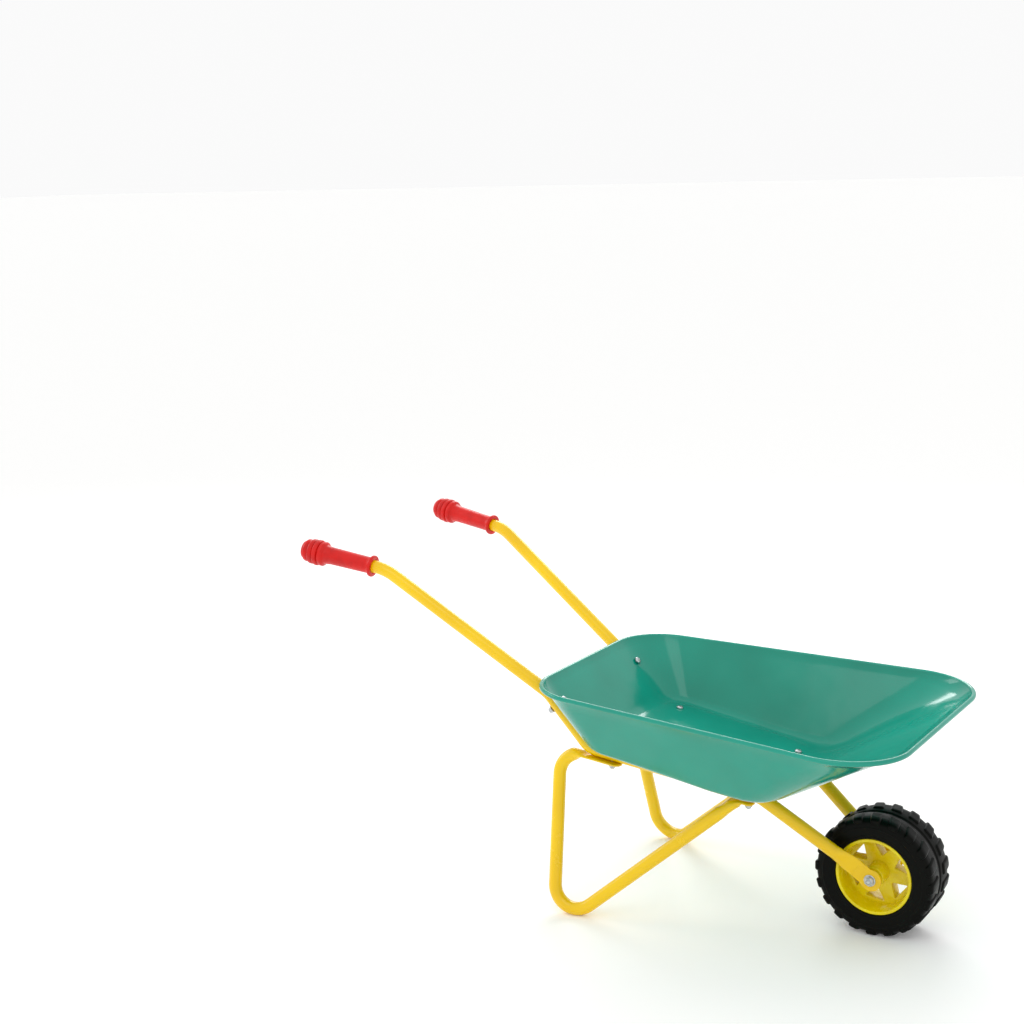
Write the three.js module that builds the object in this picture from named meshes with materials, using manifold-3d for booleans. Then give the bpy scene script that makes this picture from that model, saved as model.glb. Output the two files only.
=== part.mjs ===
// A child's steel wheelbarrow: a pressed tray on two bent tubes, two bent legs and one wheel.
// Millimetres, +Z up, +X towards the wheel. The origin is on the ground at the middle of the
// outline, and the two sides mirror each other in the plane Y = 0. Left is +Y.
import * as THREE from "three";
import { mergeVertices } from "three/addons/utils/BufferGeometryUtils.js";
import Module from "manifold-3d";

// ---- Driving dimensions ----
const GAP = 0.3; // left between pieces that touch

// Tube of the frame and the legs
const TUBE_R = 8;
const TUBE_WALL = 1.2;
const TUBE_SIDES = 12;
const BORE_SIDES = 6;
const PRESSED = 2.8; // thickness of a flattened tube end
const SLIT = 0.4; // what is left of the bore inside a flattened end
const PRESSED_WIDER = 1.42; // how much wider a flattened end is than the tube
const EYE_R = 13.5; // rounded end of the frame tube, around the axle

// Axle line
const AXLE = new THREE.Vector3(320.6, 0, 72.3);
const AXLE_R = 3;
const PLATE_Y = 38.8; // middle of the flattened ends beside the wheel
const AXLE_HALF = 45;

// The run of the frame tube under the floor, which the tray and the leg ends follow
const FLOOR_X = -16;
const FLOOR_Y = 92;
const FLOOR_Z = 197.4;
const FLOOR_SLOPE = -0.163;
const FLOOR_TOE_IN = -0.106;
const floorY = (x) => FLOOR_Y + FLOOR_TOE_IN * (x - FLOOR_X);
const floorZ = (x) => FLOOR_Z + FLOOR_SLOPE * (x - FLOOR_X);
const floorRun = (x) => [x, floorY(x), floorZ(x)];

// Corners of the frame tube's axis on the left side, from the grip to the axle
const FRAME_CORNERS = [
  { at: [-372, 150, 419.1] },
  { at: [-275.3, 138.8, 403.9], bend: 60 },
  { at: [-69.3, 97.8, 261.2], bend: 40 },
  { at: floorRun(FLOOR_X), bend: 26 },
  { at: floorRun(197), bend: 22 },
  { at: [303, PLATE_Y, 84.4], bend: 12 },
  { at: [AXLE.x, PLATE_Y, AXLE.z] },
];
const EYE_FLAT = { start: 52, full: 24 }; // from the axle: where the tube is round, and flat

// Bolts through the tray and the frame tube; the two under the floor also hold the leg
const BOLT_R = 2.5;
const HEAD = { r: 4.6, height: 2.8 };
const NUT = { r: 4.6, height: 3.6, dome: 3.2 };
const WASHER = { r: 5.2, height: 0.8 };
const BOLT_X = { rear: 14.6, front: 185 };
const WALL_BOLT_Z = 247;
const WALL_CURVE = 2.6; // the wall's round corner stands this far off the frame tube at the bolt

// Leg, left side
const LEG_TOP = [-56, 94, 190];
const LEG_GROUND = [-40, 149, -21.6];
const LEG_BEND = { eased: 60, top: 26, ground: 28, front: 18 };
// How far a leg runs on past its bolt, and where it is round and flat, from that end.
const LEG_END = {
  rear: { past: 12, start: 62, full: 38 },
  front: { past: 7, start: 46, full: 22 },
};

// Tray: outlines of the floor's and the rim's corners, seen from above
const SHEET = 0.9;
const BEAD_R = 3;
const FOLD = 9; // the floor turns into the wall over this length on each side
const FLOOR = { rear: -10.8, front: 222, rearHalf: 119, frontHalf: 117, rearCorner: 28, frontCorner: 36 };
const RIM = { rear: -72.5, front: 388.8, rearHalf: 151, frontHalf: 193.6, rearCorner: 66, frontCorner: 78 };
const RIM_Z = 278; // middle of the bead at the rear
const RIM_SLOPE = -0.0447;

// Wheel
const TYRE = { r: 69.6, half: 32.5, lugR: 72.3 };
const DRUM = { r: 43.3, wall: 3, flangeR: 45.8, half: 29.5 };
const BOSS = { r: 13, half: 30 };
const SPOKES = 6;
const LUGS = 18;
const BUSH = { r: 5.5, length: 16, flangeR: 8, flange: 1.5 };
const AXLE_NUT = { r: 5.9, height: 4.2 };

// Grip, along the first run of the frame tube
const GRIP = { start: 17, length: 101.4, socket: 84, bodyR: 10.3, flangeR: 13.6, bulbR: 16.4, ribs: 4 };

// ---- Materials ----
const material = (color, roughness, metalness = 0) =>
  new THREE.MeshStandardMaterial({ color, roughness, metalness });
const TEAL = material(0x2fa595, 0.25);
const YELLOW = material(0xf7d800, 0.25);
const RED = material(0xd8201a, 0.4);
const HUB_YELLOW = material(0xf0d400, 0.3);
const NYLON = material(0xe9e6dc, 0.5);
const BLACK = material(0x1b1c1a, 0.7);
const ZINC = material(0xc4c8cb, 0.3, 1);

const Y = new THREE.Vector3(0, 1, 0);
const vector = (p) => new THREE.Vector3(...p);

// ---- Solids: joining and cutting closed meshes ----
const wasm = await Module();
wasm.setup();

function solid(geometry) {
  const bare = geometry.clone();
  bare.deleteAttribute("normal");
  bare.deleteAttribute("uv");
  const merged = mergeVertices(bare, 1e-4);
  const vertProperties = new Float32Array(merged.attributes.position.array);
  const triVerts = new Uint32Array(merged.index.array);
  return new wasm.Manifold(new wasm.Mesh({ numProp: 3, vertProperties, triVerts }));
}

function geometryOf(body) {
  const mesh = body.getMesh();
  const geometry = new THREE.BufferGeometry();
  geometry.setAttribute("position", new THREE.BufferAttribute(mesh.vertProperties, 3));
  geometry.setIndex(new THREE.BufferAttribute(mesh.triVerts, 1));
  return geometry;
}

const cut = (geometry, tools) =>
  geometryOf(tools.reduce((body, tool) => body.subtract(solid(tool)), solid(geometry)));

const join = (geometry, others) =>
  geometryOf(others.reduce((body, other) => body.add(solid(other)), solid(geometry)));

// A cylinder with its middle at a point, along a direction.
function rod(r, length, at, along, sides = 12) {
  const turn = new THREE.Quaternion().setFromUnitVectors(Y, along);
  return new THREE.CylinderGeometry(r, r, length, sides).applyQuaternion(turn).translate(at.x, at.y, at.z);
}

// A lathed piece around the Y axis, from [radius, height] pairs.
function turned(profile, sides) {
  return new THREE.LatheGeometry(profile.map(([r, h]) => new THREE.Vector2(r, h)), sides);
}

const closed = (profile) => [...profile, profile[0]];

function ring(inner, outer, height, sides = 12) {
  return turned(closed([[inner, 0], [outer, 0], [outer, height], [inner, height]]), sides);
}

// ---- Bent tubes ----
// Length along a list of points up to each of them.
function runs(points) {
  const out = [0];
  for (let i = 1; i < points.length; i++) out.push(out[i - 1] + points[i].distanceTo(points[i - 1]));
  return out;
}

// The arc that rounds the corner at `at`, as points.
function arcPoints(before, at, after, radius) {
  const back = before.clone().sub(at).normalize();
  const ahead = after.clone().sub(at).normalize();
  const half = back.angleTo(ahead) / 2;
  const centre = back.clone().add(ahead).setLength(radius / Math.sin(half)).add(at);
  const spoke = back.clone().multiplyScalar(radius / Math.tan(half)).add(at).sub(centre);
  const turn = Math.PI - 2 * half;
  const axis = ahead.clone().cross(back).normalize();
  const steps = Math.max(2, Math.ceil(turn / 0.2));
  return Array.from({ length: steps + 1 }, (_, s) =>
    spoke.clone().applyAxisAngle(axis, (turn * s) / steps).add(centre),
  );
}

// The axis of a bent tube: straight runs joined by arcs. Its stations are only where it bends, and
// at the given distances from either end, where a pressed end needs them.
class BentAxis extends THREE.Curve {
  constructor(corners, fromStart = [], fromEnd = []) {
    super();
    const at = corners.map((corner) => vector(corner.at));
    const last = at.length - 1;
    const points = at.flatMap((p, i) =>
      i === 0 || i === last ? [p] : arcPoints(at[i - 1], p, at[i + 1], corners[i].bend),
    );
    const run = runs(points);
    const marks = [...fromStart, ...fromEnd.map((d) => run.at(-1) - d)];
    const all = points.map((p, i) => ({ p, s: run[i] }));
    for (const s of marks) {
      const i = run.findIndex((r) => r > s);
      const t = (s - run[i - 1]) / (run[i] - run[i - 1]);
      all.push({ p: points[i - 1].clone().lerp(points[i], t), s });
    }
    all.sort((a, b) => a.s - b.s);
    this.stations = all.filter((a, i) => i === 0 || a.s - all[i - 1].s > 2.5).map((a) => a.p);
  }

  getPointAt(u) {
    return this.stations[Math.round(u * (this.stations.length - 1))].clone();
  }

  getTangentAt(u) {
    const last = this.stations.length - 1;
    const i = Math.round(u * last);
    return this.stations[Math.min(last, i + 1)].clone().sub(this.stations[Math.max(0, i - 1)]).normalize();
  }

  // The point of the axis nearest to p.
  nearest(p) {
    const line = new THREE.Line3();
    let best = this.stations[0];
    for (let i = 1; i < this.stations.length; i++) {
      line.set(this.stations[i - 1], this.stations[i]);
      const q = line.closestPointToPoint(p, true, new THREE.Vector3());
      if (q.distanceTo(p) < best.distanceTo(p)) best = q;
    }
    return best;
  }
}

function tube(r, axis, sides = TUBE_SIDES) {
  const corners = Array.from({ length: sides }, (_, i) => {
    const a = ((i + 0.5) * 2 * Math.PI) / sides;
    return new THREE.Vector2(r * Math.cos(a), r * Math.sin(a));
  });
  const steps = axis.stations.length - 1;
  return new THREE.ExtrudeGeometry(new THREE.Shape(corners), { extrudePath: axis, steps, bevelEnabled: false });
}

// Presses the ends of a tube of radius r to a thickness. amount(p) says how flat the tube is at a
// point of its axis, from 0 to 1. It gets thinner along the direction `thin` and wider across it.
function press(geometry, axis, r, thickness, thin, amount) {
  const position = geometry.attributes.position;
  const p = new THREE.Vector3();
  for (let i = 0; i < position.count; i++) {
    p.fromBufferAttribute(position, i);
    const middle = axis.nearest(p);
    const k = THREE.MathUtils.smoothstep(amount(middle), 0, 1);
    if (k === 0) continue;
    const off = p.clone().sub(middle);
    const through = thin.clone().multiplyScalar(off.dot(thin));
    const across = off.sub(through);
    p.copy(middle);
    p.addScaledVector(across, 1 + k * (PRESSED_WIDER - 1));
    p.addScaledVector(through, 1 + k * (thickness / (2 * r) - 1));
    position.setXYZ(i, p.x, p.y, p.z);
  }
  return geometry;
}

const flatness = (distance, flat) => (flat.start - distance) / (flat.start - flat.full);

// ---- Bolts: where they are ----
const upFrom = (slope) => new THREE.Vector3(-slope, 0, 1).normalize();
const FLOOR_UP = upFrom(FLOOR_SLOPE);
const [wallTop, wallFoot] = [2, 3].map((i) => vector(FRAME_CORNERS[i].at));
const WALL_UP = new THREE.Vector3(wallTop.z - wallFoot.z, 0, wallFoot.x - wallTop.x).normalize();
const onWall = wallTop.clone().lerp(wallFoot, (wallTop.z - WALL_BOLT_Z) / (wallTop.z - wallFoot.z));

// Left side: the point on the tube's axis, the way the head points, how far the sheet stands off
// the tube, and the room that a leg end takes on the tube's other side.
const BOLTS = {
  wall: { at: onWall, up: WALL_UP, standOff: WALL_CURVE, legEnd: 0 },
  rear_floor: { at: vector(floorRun(BOLT_X.rear)), up: FLOOR_UP, standOff: 0, legEnd: PRESSED + 2 * GAP },
  front_floor: { at: vector(floorRun(BOLT_X.front)), up: FLOOR_UP, standOff: 0, legEnd: PRESSED + 2 * GAP },
};
const boltHoles = () => Object.values(BOLTS).map((b) => rod(BOLT_R + GAP, 60, b.at, b.up));

// ---- Frame tubes ----
function frameTube() {
  const marks = [8, 16, EYE_FLAT.full, 30, 36, 42, 47, EYE_FLAT.start];
  const axis = new BentAxis(FRAME_CORNERS, [], marks);
  const eye = new THREE.Vector3(AXLE.x, PLATE_Y, AXLE.z);
  const amount = (p) => flatness(p.distanceTo(eye), EYE_FLAT);
  const bar = press(tube(TUBE_R, axis), axis, TUBE_R, PRESSED, Y, amount);
  const whole = join(bar, [rod(EYE_R, PRESSED, eye, Y, 32)]);
  return cut(whole, [frameBore(), rod(AXLE_R + GAP, 20, eye, Y), ...boltHoles()]);
}

// The tube's hollow: open at the grip, it stops where the other end starts to be pressed.
function frameBore() {
  const corners = FRAME_CORNERS.slice(0, -1);
  const [end, next] = corners.slice(0, 2).map((corner) => vector(corner.at));
  const [before, fold] = corners.slice(-2).map((corner) => vector(corner.at));
  corners[0] = { at: end.add(end.clone().sub(next).setLength(5)).toArray() };
  const stop = EYE_FLAT.start - fold.distanceTo(new THREE.Vector3(AXLE.x, PLATE_Y, AXLE.z));
  corners[corners.length - 1] = { at: fold.add(before.sub(fold).setLength(stop)).toArray() };
  return tube(TUBE_R - TUBE_WALL, new BentAxis(corners), BORE_SIDES);
}

// ---- Legs ----
// A point of the leg's axis where the leg lies pressed against the underside of the frame tube.
function underFrame(x) {
  const below = TUBE_R + GAP + PRESSED / 2;
  return vector(floorRun(x)).addScaledVector(FLOOR_UP, -below).toArray();
}

// The leg's axis, with its two ends run on by a length.
function legAxis(runOn) {
  const corners = [
    { at: underFrame(BOLT_X.rear + LEG_END.rear.past + runOn) },
    { at: underFrame(-14), bend: LEG_BEND.eased },
    { at: LEG_TOP, bend: LEG_BEND.top },
    { at: LEG_GROUND, bend: LEG_BEND.ground },
    { at: underFrame(BOLT_X.front - 12), bend: LEG_BEND.front },
    { at: underFrame(BOLT_X.front + LEG_END.front.past + runOn) },
  ];
  const marks = ({ start, full }) => [0, 0.25, 0.5, 0.75, 1].map((t) => full + t * (start - full) + runOn);
  return new BentAxis(corners, marks(LEG_END.rear), marks(LEG_END.front));
}

function leg() {
  const ends = ["rear", "front"].map((side) => {
    const flat = LEG_END[side];
    return { flat, at: vector(underFrame(BOLT_X[side] + flat.past)) };
  });
  const amount = (p) => Math.max(...ends.map(({ flat, at }) => flatness(p.distanceTo(at), flat)));
  const pressed = (axis, r, thickness, sides) => press(tube(r, axis, sides), axis, r, thickness, FLOOR_UP, amount);
  const bar = pressed(legAxis(0), TUBE_R, PRESSED, TUBE_SIDES);
  const bore = pressed(legAxis(2), TUBE_R - TUBE_WALL, SLIT, BORE_SIDES);
  return cut(bar, [bore, ...boltHoles()]);
}

// ---- Tray ----
const trayFloorZ = (x) => floorZ(x) + (TUBE_R + GAP) * Math.hypot(1, FLOOR_SLOPE);
const trayRimZ = (x) => RIM_Z + RIM_SLOPE * (x - RIM.rear);
const CORNER_STEPS = 6;
const SIDE_STEPS = [4, 2, 4, 2];
const FOLD_STEPS = 3;
const WALL_STEPS = 2;
const BEAD_STEPS = 6;

// An outline moved inwards by a distance.
function inset(outline, by) {
  const { rear, front, rearHalf, frontHalf, rearCorner, frontCorner } = outline;
  return {
    rear: rear + by,
    front: front - by,
    rearHalf: rearHalf - by,
    frontHalf: frontHalf - by,
    rearCorner: Math.max(2, rearCorner - by),
    frontCorner: Math.max(2, frontCorner - by),
  };
}

// The loop of an outline, counter-clockwise from above, at the heights that z(x) gives. Each loop
// has the same number of points in its round corners and sides, so loops can be lofted.
function trayLoop(outline, z) {
  const { rear, front, rearHalf, frontHalf, rearCorner, frontCorner } = outline;
  const corners = [
    { p: new THREE.Vector2(rear, -rearHalf), r: rearCorner },
    { p: new THREE.Vector2(front, -frontHalf), r: frontCorner },
    { p: new THREE.Vector2(front, frontHalf), r: frontCorner },
    { p: new THREE.Vector2(rear, rearHalf), r: rearCorner },
  ];
  const arcs = corners.map(({ p, r }, i) => {
    const back = corners[(i + 3) % 4].p.clone().sub(p).normalize();
    const ahead = corners[(i + 1) % 4].p.clone().sub(p).normalize();
    const half = Math.acos(back.dot(ahead)) / 2;
    const centre = back.clone().add(ahead).setLength(r / Math.sin(half)).add(p);
    const start = back.setLength(r / Math.tan(half)).add(p);
    const turn = (Math.PI - 2 * half) / CORNER_STEPS;
    return Array.from({ length: CORNER_STEPS + 1 }, (_, s) => start.clone().rotateAround(centre, turn * s));
  });
  const points = arcs.flatMap((arc, i) => {
    const next = arcs[(i + 1) % 4][0];
    const side = Array.from({ length: SIDE_STEPS[i] - 1 }, (_, s) =>
      arc.at(-1).clone().lerp(next, (s + 1) / SIDE_STEPS[i]),
    );
    return [...arc, ...side];
  });
  return points.map((p) => new THREE.Vector3(p.x, p.y, z(p.x)));
}

// One skin of the tray, as loops from the floor to the bead. raise lifts it off the underside.
function traySkin(raise) {
  const z = (x) => trayFloorZ(x) + raise;
  const corner = trayLoop(inset(FLOOR, raise * 0.5), z);
  const floor = trayLoop(inset(FLOOR, raise * 0.5 + FOLD), z);
  const rim = trayLoop(inset(RIM, BEAD_R - SHEET + raise), trayRimZ);
  const wall = corner.map((c, i) => c.clone().lerp(rim[i], FOLD / c.distanceTo(rim[i])));
  const fold = Array.from({ length: FOLD_STEPS + 1 }, (_, s) =>
    corner.map((c, i) => new THREE.QuadraticBezierCurve3(floor[i], c, wall[i]).getPoint(s / FOLD_STEPS)),
  );
  const rise = Array.from({ length: WALL_STEPS }, (_, s) =>
    wall.map((p, i) => p.clone().lerp(rim[i], (s + 1) / WALL_STEPS)),
  );
  return [...fold, ...rise];
}

// The rolled bead, from the top of the inner skin over to the outer skin.
function beadLoops(innerTop) {
  const middle = trayLoop(RIM, trayRimZ);
  return Array.from({ length: BEAD_STEPS }, (_, s) => {
    const angle = Math.PI - ((s + 1) / (BEAD_STEPS + 1)) * 1.8 * Math.PI;
    return middle.map((c, i) => {
      const out = c.clone().sub(innerTop[i]).setZ(0).setLength(BEAD_R * Math.cos(angle));
      return out.add(c).setZ(c.z + BEAD_R * Math.sin(angle));
    });
  });
}

// The closed skin through a list of loops, with a flat fan over the first loop and the last.
function loft(loops) {
  const count = loops[0].length;
  const top = (loops.length - 1) * count;
  const middle = (loop) => loop.reduce((sum, p) => sum.add(p), new THREE.Vector3()).divideScalar(count);
  const points = [...loops.flat(), middle(loops[0]), middle(loops.at(-1))];
  const first = points.length - 2;
  const index = [];
  for (let j = 0; j < count; j++) {
    const k = (j + 1) % count;
    for (let row = 0; row < top; row += count) {
      index.push(row + j, row + k, row + count + j);
      index.push(row + k, row + count + k, row + count + j);
    }
    index.push(first, k, j, first + 1, top + j, top + k);
  }
  return new THREE.BufferGeometry().setFromPoints(points).setIndex(index);
}

function mirrored(geometry) {
  const out = geometry.toNonIndexed().scale(1, -1, 1);
  const flipped = Array.from({ length: out.attributes.position.count / 3 }, (_, i) => [3 * i, 3 * i + 2, 3 * i + 1]);
  return out.setIndex(flipped.flat());
}

function tray() {
  const outer = traySkin(0);
  const inner = traySkin(SHEET);
  const bead = beadLoops(inner.at(-1));
  const skin = loft([...outer.slice(0, -1), ...bead.reverse(), ...inner.reverse()]);
  return cut(skin, [...boltHoles(), ...boltHoles().map(mirrored)]);
}

// ---- Fasteners, around the Y axis with the head towards +Y ----
function bolt(length) {
  return turned(
    [
      [0, -length],
      [BOLT_R - 0.5, -length],
      [BOLT_R, 0.6 - length],
      [BOLT_R, 0],
      [HEAD.r, 0],
      [HEAD.r, HEAD.height * 0.45],
      [HEAD.r * 0.75, HEAD.height * 0.85],
      [HEAD.r * 0.35, HEAD.height],
      [0, HEAD.height],
    ],
    12,
  );
}

// A domed nut whose flat face is at height 0 and whose dome points down.
function capNut() {
  const hex = new THREE.CylinderGeometry(NUT.r, NUT.r, NUT.height, 6).translate(0, -NUT.height / 2, 0);
  const dome = [
    [0, -NUT.height - NUT.dome],
    [1.6, 0.3 - NUT.height - NUT.dome],
    [2.9, 1.3 - NUT.height - NUT.dome],
    [3.6, -NUT.height],
    [3.6, -1],
    [0, -1],
  ];
  const thread = rod(BOLT_R + GAP, 2 * (NUT.height + 1), new THREE.Vector3(), Y);
  return cut(join(hex, [turned(dome, 12)]), [thread]);
}

function grip() {
  const bore = TUBE_R + GAP;
  const profile = [
    [0, GRIP.socket],
    [bore, GRIP.socket],
    [bore, 0],
    [GRIP.flangeR - 0.8, 0],
    [GRIP.flangeR, 1.2],
    [GRIP.flangeR, 3],
    [GRIP.flangeR - 0.8, 4.2],
    [GRIP.bodyR + 0.4, 5],
    [GRIP.bodyR, 8],
    [GRIP.bodyR + 0.6, 62],
    [GRIP.bodyR + 1.8, 68],
  ];
  const pitch = (GRIP.length - 3 - 70) / GRIP.ribs;
  for (let i = 0; i < GRIP.ribs; i++) {
    const from = 70 + i * pitch;
    const r = GRIP.bulbR - 2.4 + 2.4 * Math.sin((Math.PI * (i + 0.9)) / GRIP.ribs);
    profile.push([r - 0.7, from], [r, from + 1.4], [r, from + pitch - 2.4], [r - 0.9, from + pitch - 1.2]);
    profile.push([r - 2, from + pitch - 0.8]);
  }
  profile.push([10.5, GRIP.length - 0.8], [7, GRIP.length], [0, GRIP.length]);
  return turned(profile, 18);
}

// ---- Wheel pieces, around the Y axis ----
function tyre() {
  const bore = DRUM.r + GAP;
  const seat = DRUM.half - 2.5 - GAP;
  const side = [
    [bore, seat],
    [DRUM.flangeR + GAP, seat],
    [DRUM.flangeR + GAP, DRUM.half],
    [49, 31.6],
    [60, TYRE.half],
    [66, 31],
    [TYRE.r - 0.6, 26],
  ];
  const profile = [...side.map(([r, y]) => [r, -y]), [TYRE.r, 0], ...side.reverse()];
  const carcass = turned(closed(profile), 40);
  const lugs = [];
  for (const way of [-1, 1]) {
    for (let i = 0; i < LUGS; i++) {
      const lug = new THREE.BoxGeometry(11, 19.5, 10).translate(0, way * 21.8, TYRE.lugR - 5);
      lugs.push(lug.rotateY(((i + (way > 0 ? 0.5 : 0)) * 2 * Math.PI) / LUGS));
    }
  }
  return join(carcass, lugs);
}

// A window between two spokes: a triangle with round corners, its point towards the boss.
function windowPath(turn) {
  const corners = [[18, 0], [37.5, 0.36], [37.5, -0.36]];
  const points = corners.map(([r, a]) => new THREE.Vector2(r * Math.cos(a + turn), r * Math.sin(a + turn)));
  const path = new THREE.Path();
  points.forEach((p, i) => {
    const from = p.clone().lerp(points[(i + 2) % 3], 0.25);
    const to = p.clone().lerp(points[(i + 1) % 3], 0.25);
    if (i === 0) path.moveTo(from.x, from.y);
    else path.lineTo(from.x, from.y);
    path.quadraticCurveTo(p.x, p.y, to.x, to.y);
  });
  path.closePath();
  return path;
}

function hub() {
  const inner = DRUM.r - DRUM.wall;
  const edge = DRUM.half - 2.5;
  const drum = turned(
    closed([
      [inner + 1.5, -DRUM.half],
      [DRUM.flangeR, -DRUM.half],
      [DRUM.flangeR, -edge],
      [DRUM.r, -edge],
      [DRUM.r, edge],
      [DRUM.flangeR, edge],
      [DRUM.flangeR, DRUM.half],
      [inner + 1.5, DRUM.half],
      [inner, 8],
      [inner, -8],
    ]),
    36,
  );
  const disc = new THREE.Shape().absarc(0, 0, inner + 1, 0, 2 * Math.PI);
  for (let i = 0; i < SPOKES; i++) disc.holes.push(windowPath(((i + 0.64) * 2 * Math.PI) / SPOKES));
  const web = new THREE.ExtrudeGeometry(disc, { depth: 17, bevelEnabled: false, curveSegments: 5 });
  web.translate(0, 0, -8.5).rotateX(Math.PI / 2);
  const boss = new THREE.CylinderGeometry(BOSS.r, BOSS.r, 2 * BOSS.half, 24);
  const bore = rod(AXLE_R + 1, 2 * BOSS.half + 2, new THREE.Vector3(), Y);
  const seats = [-1, 1].map((way) =>
    rod(BUSH.r + GAP, 2 * (BUSH.length + 1), new THREE.Vector3(0, way * BOSS.half, 0), Y, 24),
  );
  return cut(join(drum, [web, boss]), [bore, ...seats]);
}

// A flanged sleeve that carries the hub on the axle. Its flange is outside, towards +Y.
function bush() {
  const bore = AXLE_R + GAP;
  return turned(
    closed([
      [bore, -BUSH.length],
      [BUSH.r, -BUSH.length],
      [BUSH.r, 0],
      [BUSH.flangeR, 0],
      [BUSH.flangeR, BUSH.flange],
      [bore, BUSH.flange],
    ]),
    16,
  );
}

function axleRod() {
  const end = AXLE_HALF;
  return turned([[0, -end], [AXLE_R - 0.6, -end], [AXLE_R, 0.7 - end], [AXLE_R, end - 0.7], [AXLE_R - 0.6, end], [0, end]], 20);
}

function axleNut() {
  const blank = new THREE.CylinderGeometry(AXLE_NUT.r, AXLE_NUT.r, AXLE_NUT.height, 6);
  const thread = rod(AXLE_R + GAP, AXLE_NUT.height + 2, new THREE.Vector3(), Y);
  return cut(blank.translate(0, AXLE_NUT.height / 2, 0), [thread.translate(0, AXLE_NUT.height / 2, 0)]);
}

// ---- Assembly ----
const wheelbarrow = new THREE.Group();

function add(name, geometry, look, at = new THREE.Vector3(), up = Y) {
  const mesh = new THREE.Mesh(geometry, look);
  mesh.name = name;
  mesh.position.copy(at);
  mesh.quaternion.setFromUnitVectors(Y, up);
  wheelbarrow.add(mesh);
  return mesh;
}

// The same piece on both sides: as made for the left, and its mirror image for the right.
function addPair(name, geometry, look, at, up) {
  add(name + "_left", geometry, look, at, up);
  const other = mirrored(geometry.clone().applyQuaternion(new THREE.Quaternion().setFromUnitVectors(Y, up ?? Y)));
  const place = at ? at.clone().multiply(new THREE.Vector3(1, -1, 1)) : undefined;
  add(name + "_right", other, look, place);
}

add("tray", tray(), TEAL);
addPair("frame_tube", frameTube(), YELLOW);
addPair("leg", leg(), YELLOW);

const handleEnd = vector(FRAME_CORNERS[0].at);
const handleBend = vector(FRAME_CORNERS[1].at);
const alongHandle = handleEnd.clone().sub(handleBend).normalize();
addPair("grip", grip(), RED, handleBend.clone().addScaledVector(alongHandle, GRIP.start), alongHandle);

for (const [name, { at, up, standOff, legEnd }] of Object.entries(BOLTS)) {
  const seat = TUBE_R + GAP + standOff + SHEET + GAP; // from the tube's axis to the underside of the head
  const washerTop = TUBE_R + GAP + legEnd;
  const nutTop = washerTop + WASHER.height + GAP;
  const length = seat + nutTop + NUT.height;
  addPair(name + "_bolt", bolt(length), ZINC, at.clone().addScaledVector(up, seat), up);
  const washer = ring(BOLT_R + GAP, WASHER.r, WASHER.height);
  addPair(name + "_washer", washer, ZINC, at.clone().addScaledVector(up, -washerTop - WASHER.height), up);
  addPair(name + "_nut", capNut(), ZINC, at.clone().addScaledVector(up, -nutTop), up);
}

const besideWheel = (y) => new THREE.Vector3(AXLE.x, y, AXLE.z);
add("tyre", tyre(), BLACK, AXLE);
add("wheel_hub", hub(), HUB_YELLOW, AXLE);
add("axle", axleRod(), ZINC, AXLE);
let y = BOSS.half + GAP;
addPair("hub_bush", bush(), NYLON, besideWheel(y));
y += BUSH.flange + GAP;
const spacer = PLATE_Y - PRESSED / 2 - GAP - y;
addPair("axle_spacer", ring(AXLE_R + GAP, 6, spacer), NYLON, besideWheel(y));
y = PLATE_Y + PRESSED / 2 + GAP;
addPair("axle_washer", ring(AXLE_R + GAP, 7, 1), ZINC, besideWheel(y));
addPair("axle_nut", axleNut(), ZINC, besideWheel(y + 1 + GAP));

export default wheelbarrow;
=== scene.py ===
# A child's steel wheelbarrow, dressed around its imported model: pressed tray, bent tubes, grips,
# tyre, spoked hub and fasteners. Lengths are written in millimetres and turned into metres by mm().
import math

import bmesh
import bpy
from mathutils import Matrix, Vector


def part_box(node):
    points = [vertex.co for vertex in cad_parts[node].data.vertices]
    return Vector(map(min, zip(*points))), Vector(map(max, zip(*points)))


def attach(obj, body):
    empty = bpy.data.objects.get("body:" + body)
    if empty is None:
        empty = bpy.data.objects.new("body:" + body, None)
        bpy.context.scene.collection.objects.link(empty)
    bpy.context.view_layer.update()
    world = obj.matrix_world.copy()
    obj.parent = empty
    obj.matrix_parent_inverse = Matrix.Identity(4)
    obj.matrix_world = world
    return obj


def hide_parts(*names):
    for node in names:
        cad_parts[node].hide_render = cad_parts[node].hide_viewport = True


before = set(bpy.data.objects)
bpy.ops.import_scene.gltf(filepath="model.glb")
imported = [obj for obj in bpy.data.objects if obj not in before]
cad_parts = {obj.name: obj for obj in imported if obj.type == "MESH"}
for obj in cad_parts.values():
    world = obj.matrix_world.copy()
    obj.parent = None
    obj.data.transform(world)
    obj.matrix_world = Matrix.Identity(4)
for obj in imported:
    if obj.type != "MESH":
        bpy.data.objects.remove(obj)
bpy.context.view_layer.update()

MM = 0.001
LEFT, RIGHT = 1, -1
SIDES = {"left": LEFT, "right": RIGHT}


def mm(*values):
    """A point or direction given in millimetres, in metres."""
    return Vector(values) * MM


# ---------------------------------------------------------------- sizes, in millimetres
TUBE_R = 8
GAP = 0.3
PRESSED = 2.8
PRESSED_WIDER = 1.42
CREASE_BOW = 4
EYE_R = 13.5

wheel_low, wheel_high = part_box("tyre")
AXLE_AT = (wheel_low + wheel_high) / 2
AXLE_X, AXLE_Z = AXLE_AT.x / MM, AXLE_AT.z / MM
AXLE_R = 3
PLATE_Y = 38.8

FLOOR_X = -16
FLOOR_Y = 92
FLOOR_Z = 197.4
FLOOR_SLOPE = -0.163
FLOOR_TOE_IN = -0.106

SHEET = 0.9
BEAD_R = 3.0
RIM_Z = 278
RIM_SLOPE = -0.0447


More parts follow.
